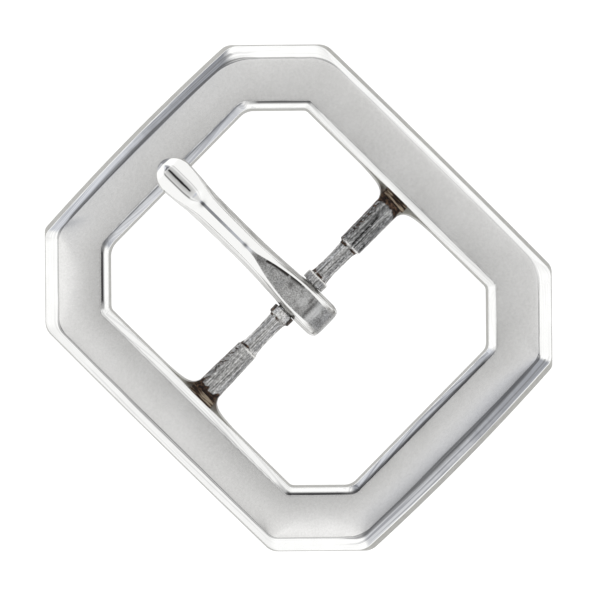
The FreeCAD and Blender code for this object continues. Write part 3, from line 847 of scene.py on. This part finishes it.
def satin_face():
    """The frame's flat face: fine matt grain with cloudy handling marks."""
    m = Nodes("frame_face_satin", {"Metallic": 1.0})
    cloud = m.noise(110, 5, 0.62)
    tint = m.ramp(cloud, [(0.3, (0.73, 0.725, 0.71)), (0.7, (0.80, 0.795, 0.785))])
    mottle = m.ramp(m.noise(3200, 3, 0.7), [(0.35, (0.68, 0.675, 0.665)), (0.65, (0.84, 0.835, 0.825))])
    m.shade(m.mix(0.35, tint, mottle), "Base Color")
    m.shade(m.ramp(m.noise(160, 4, 0.6), [(0.3, 0.13), (0.7, 0.19)]), "Roughness")
    m.shade(m.bump(m.noise(14000, 3, 0.7), 0.0000012), "Normal")
    return m.material


def frame_wall():
    """Walls: bright where the buff reached; where it did not, rougher and olive grey, the grey being a
    painted reflection of the shaded table; brown residue at the bar.
    """
    m = Nodes("frame_wall", {"Specular IOR Level": RESIDUE_SPECULAR})
    patches = m.noise(900, 5, 0.6)
    # olive grey: painted reflection of the shaded table beside the object
    grey = m.ramp(patches, [(0.3, (0.20, 0.195, 0.17)), (0.7, (0.31, 0.305, 0.28))])
    bright = m.ramp(patches, [(0.3, (0.74, 0.74, 0.73)), (0.7, (0.80, 0.80, 0.79))])
    dull = m.attribute("dull")
    metal = m.mix(dull, bright, grey)
    stain = m.ramp(m.noise(2600, 4, 0.6), [(0.35, (0.014, 0.008, 0.005)), (0.7, (0.08, 0.048, 0.028))])
    residue = m.attribute("residue")
    m.shade(m.mix(residue, metal, stain), "Base Color")
    m.shade(m.ramp(residue, [(0.0, 1.0), (1.0, 0.2)]), "Metallic")
    m.shade(m.ramp(dull, [(0.0, 0.12), (1.0, 0.34)]), "Roughness")
    cast = m.bump(patches, 0.00001)
    m.shade(m.bump(m.noise(5200, 3, 0.6), 0.000005, below=cast), "Normal")
    return m.material


def frame_back():
    """Flat back, tumbled but never polished."""
    m = Nodes("frame_back", {"Metallic": 1.0})
    patches = m.noise(420, 5, 0.6)
    m.shade(m.ramp(patches, [(0.3, (0.48, 0.475, 0.45)), (0.7, (0.62, 0.615, 0.59))]), "Base Color")
    m.shade(m.ramp(patches, [(0.3, 0.3), (0.7, 0.45)]), "Roughness")
    cast = m.bump(patches, 0.00003)
    m.shade(m.bump(m.noise(3600, 3, 0.6), 0.000008, below=cast), "Normal")
    return m.material


def cast_bar():
    """Scratch-brushed casting: streaks along X, worn bright rims and brown residue in the corners."""
    m = Nodes("bar_cast", {"Specular IOR Level": RESIDUE_SPECULAR})
    long_streaks = m.noise(5200, 3, 0.6, (0.025, 1, 1))
    speckle = m.noise(5200, 4, 0.75, (0.45, 1, 1))
    streaks = m.mix(0.55, (long_streaks, "Color"), (speckle, "Color"))
    light_metal = m.ramp(streaks, [(0.42, (0.13, 0.13, 0.128)), (0.5, (0.45, 0.445, 0.43)),
                                   (0.58, (0.90, 0.89, 0.88))])
    dark_metal = m.ramp(streaks, [(0.43, (0.04, 0.04, 0.04)), (0.51, (0.24, 0.24, 0.238)),
                                  (0.6, (0.75, 0.75, 0.74))])
    metal = m.mix(m.attribute("shade"), light_metal, dark_metal)
    # painted shade in the seam and painted shadow beside the steps, and one black mark
    shaded_and_marked = m.mix(m.attribute("painted_shade_and_marks"), metal, SHADE_AND_MARK_BLACK)
    bright = m.mix(m.attribute("worn"), shaded_and_marked, WORN_BRIGHT)
    stripes = m.ramp(m.noise(4000, 3, 0.6, (1, 0.1, 1)),
                     [(0.42, (0.010, 0.005, 0.003)), (0.5, (0.07, 0.042, 0.025)), (0.58, (0.32, 0.26, 0.19))])
    stain = m.ramp(m.noise(2600, 4, 0.6),
                   [(0.4, (0.006, 0.003, 0.002)), (0.52, (0.03, 0.015, 0.009)), (0.66, (0.12, 0.07, 0.042))])
    soiled = m.mix(m.attribute("tan"), stain, stripes)
    residue = m.attribute("residue")
    m.shade(m.mix(residue, bright, soiled), "Base Color")
    m.shade(m.ramp(residue, [(0.0, 1.0), (1.0, 0.2)]), "Metallic")
    m.shade(m.ramp(streaks, [(0.35, 0.48), (0.65, 0.3)]), "Roughness")
    cut = m.bump(streaks, 0.00006)
    m.shade(m.bump(m.noise(4200, 4, 0.65), 0.00003, below=cut), "Normal")
    return m.material


def prong_metal():
    """Mirror-polished prong with an unpolished, blotched leaf over the eye and brushed steep sides."""
    m = Nodes("prong_polish", {"Metallic": 1.0})
    leaf = m.attribute("leaf")
    side = m.attribute("side")
    grain = m.noise(6000, 3, 0.7, (1, 0.7, 1))
    blotch = m.noise(700, 5, 0.62)
    blotch_tone = m.ramp(blotch, [(0.38, (0.29, 0.29, 0.28)), (0.5, (0.37, 0.365, 0.35)),
                                  (0.62, (0.48, 0.475, 0.46))])
    grain_tone = m.ramp(grain, [(0.4, 0.10), (0.5, 0.36), (0.6, 0.72)])
    dull = m.mix(0.45, blotch_tone, grain_tone)
    # painted highlights: light bands on the leaf
    with_painted_highlights = m.mix(m.attribute("light"), dull, (0.74, 0.74, 0.73))
    # dark blots on the leaf, partly marks and partly painted dark reflection
    with_blots_and_reflections = m.mix(m.attribute("dark"), with_painted_highlights, (0.04, 0.036, 0.033))
    streaks = m.noise(4200, 3, 0.6, (1, 0.03, 1))
    brushed = m.ramp(streaks, [(0.38, (0.18, 0.175, 0.165)), (0.5, (0.32, 0.315, 0.30)),
                               (0.62, (0.50, 0.495, 0.48))])
    sided = m.mix(side, MIRROR, brushed)
    topped = m.mix(leaf, sided, with_blots_and_reflections)
    # pits and painted dark reflections on the crest, in dark grey
    m.shade(m.mix(m.attribute("pits_and_painted_reflections"), topped, (0.10, 0.10, 0.10)), "Base Color")
    bright = m.ramp(m.noise(300, 4, 0.6), [(0.35, 0.03), (0.75, 0.06)])
    matt = m.ramp(m.noise(1900, 4, 0.6), [(0.3, 0.32), (0.7, 0.5)])
    side_rough = m.mix(side, bright, (0.28, 0.28, 0.28))
    m.shade(m.mix(leaf, side_rough, matt), "Roughness")
    peel = m.bump(m.noise(520, 2, 0.4), 0.00001)
    height = m.mix(leaf, (0.5, 0.5, 0.5), (grain, "Color"))
    m.shade(m.bump(height, 0.00003, below=peel), "Normal")
    return m.material


# ---------------------------------------------------------------- stage

FIELD = 84.6  # mm that the picture shows at the height of the object's outline
SENSOR = 36.0
CAMERA_HEIGHT = 700.0
CAMERA_OFFSET = (0.2, -0.3)  # mm to the right and up in the picture from the object's middle
ROLL = 45.45
WHITE = 1.5  # brightest that the light tent can be
FLOOR_HALF = 3.0  # metres
FLOOR_DROP = 0.05  # a hair below the back, so that the two faces don't flicker
FLAGS_START = 9  # degrees from straight up, where the dark flags begin


def make_camera():
    camera = new_object("camera", bpy.data.cameras.new("camera"))
    bpy.context.scene.camera = camera
    camera.data.sensor_width = SENSOR
    camera.data.lens = SENSOR * (CAMERA_HEIGHT - BACK_ROUND) / FIELD
    camera.data.clip_start = 0.01
    camera.data.clip_end = 10.0
    roll = math.radians(ROLL)
    right = Vector((math.cos(roll), -math.sin(roll), 0))
    up = Vector((math.sin(roll), math.cos(roll), 0))
    place = right * CAMERA_OFFSET[0] + up * CAMERA_OFFSET[1] + Vector((0, 0, CAMERA_HEIGHT))
    camera.location = place * MM
    camera.rotation_euler = (0, 0, -roll)


def make_floor():
    """A backlit white table, so hardly any shadow shows on it."""
    mesh = bpy.data.meshes.new("floor")
    square = ((-1, -1), (1, -1), (1, 1), (-1, 1))
    corners = [(x * FLOOR_HALF, y * FLOOR_HALF, -FLOOR_DROP * MM) for x, y in square]
    mesh.from_pydata(corners, [], [(0, 1, 2, 3)])
    m = Nodes("floor_paper", {"Roughness": 0.9, "Base Color": (0.3, 0.3, 0.3, 1),
                              "Emission Color": (1, 1, 1, 1), "Emission Strength": 0.92})
    mesh.materials.append(m.material)
    floor = new_object("floor", mesh)


def make_world():
    """A white light tent. Its brightness depends on the angle from straight up, and differs towards
    the object's two ends, where dark flags hang, and towards the left, where the roof has a seam."""
    world = bpy.data.worlds.new("light_tent")
    bpy.context.scene.world = world
    world.use_nodes = True
    tree = world.node_tree
    tree.nodes.clear()
    link = tree.links.new

    def add(kind, **settings):
        return new_node(tree, kind, **settings)

    def math_node(operation, first, second=None):
        node = add("Math", operation=operation)
        for value, socket in zip((first, second), node.inputs):
            if isinstance(value, float):
                socket.default_value = value
            elif value is not None:
                link(value, socket)
        return node.outputs[0]

    def between(value, low, high):
        node = add("MapRange", interpolation_type="SMOOTHSTEP")
        link(value, node.inputs["Value"])
        node.inputs["From Min"].default_value = low
        node.inputs["From Max"].default_value = high
        return node.outputs["Result"]

    def profile(angle, stops, cool_tint=0.0):
        """Brightness by degrees from straight up. The dark flags are a little blue."""
        node = add("ValToRGB")
        colours = []
        for degrees, value in stops:
            cool = cool_tint * (degrees > FLAGS_START)
            tones = (1 - cool, 1 - cool / 2, 1 + cool)
            colours.append((degrees / 90, [value / WHITE * tone for tone in tones]))
        fill_ramp(node, colours)
        link(angle, node.inputs["Fac"])
        return node.outputs["Color"]

    def mix(factor, first, second):
        node = add("Mix", data_type="RGBA")
        link(factor, node.inputs[0])
        link(first, node.inputs[6])
        link(second, node.inputs[7])
        return node.outputs[2]

    place = add("TexCoord")
    split = add("SeparateXYZ")
    link(place.outputs["Generated"], split.inputs["Vector"])
    x, y, z = split.outputs
    angle = math_node("MULTIPLY", math_node("ARCCOSINE", z), 2 / math.pi)
    level_part = math_node("MAXIMUM", math_node("SUBTRACT", 1.0, math_node("MULTIPLY", z, z)), 1e-6)
    endward = math_node("DIVIDE", math_node("MULTIPLY", y, y), level_part)
    sideways = math_node("DIVIDE", x, math_node("SQRT", level_part))
    flag_edge = between(sideways, -0.035, 0.045)
    to_ends = between(endward, 0.72, 0.96)
    to_plus_y = between(y, -0.01, 0.01)
    to_sides = between(math_node("SUBTRACT", 1.0, endward), 0.6, 0.95)
    to_left = between(math_node("MULTIPLY", x, -1.0), 0.0, 0.05)
    roof = [(0, 0.03), (1.0, 0.05), (1.9, 0.6), (4, 0.68), (8, 0.86)]
    corner = profile(angle, roof + [(12, 1.12), (19, 1.25), (25, 1.0), (31, 0.95), (36, 1.25), (90, 1.3)])
    right = profile(angle, roof + [(13, 1.05), (19, 0.9), (25, 0.7), (31, 0.75), (36, 1.12), (90, 1.15)])
    left = profile(angle, roof + [(13, 0.9), (19, 0.4), (27, 0.35), (36, 1.12), (60, 1.15), (90, 1.15)])
    top = roof + [(11, 0.65), (17, 0.24), (34, 0.2)]
    bottom = roof + [(11, 0.75), (17, 0.32), (34, 0.26)]
    top_end = mix(flag_edge, profile(angle, top + [(41, 0.85), (78, 0.9), (90, 1.0)], 0.05),
                  profile(angle, top + [(42, 0.40), (75, 0.45), (90, 1.0)], 0.06))
    bottom_end = mix(flag_edge, profile(angle, bottom + [(41, 0.75), (66, 0.85), (90, 1.0)], 0.03),
                     profile(angle, bottom + [(46, 0.4), (66, 0.5), (80, 0.8)], 0.06))
    ends = mix(to_plus_y, bottom_end, top_end)
    colour = mix(to_ends, mix(to_sides, corner, mix(to_left, right, left)), ends)
    background = add("Background")
    background.inputs["Strength"].default_value = WHITE
    link(colour, background.inputs["Color"])
    output = add("OutputWorld")
    link(background.outputs["Background"], output.inputs["Surface"])


# ---------------------------------------------------------------- assembly

make_camera()
make_floor()
make_world()
bpy.context.scene.view_settings.view_transform = "Standard"

frame_piece = build_frame()
for material in (satin_face(), frame_polish(), frame_wall(), frame_back()):
    frame_piece.data.materials.append(material)
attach(frame_piece, "frame_assembly")
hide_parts("frame")

bar_piece = build_bar()
bar_piece.data.materials.append(cast_bar())
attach(bar_piece, "frame_assembly")
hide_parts("centre_bar")

prong_piece = build_prong()
prong_piece.data.materials.append(prong_metal())
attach(prong_piece, "prong")
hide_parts("prong")
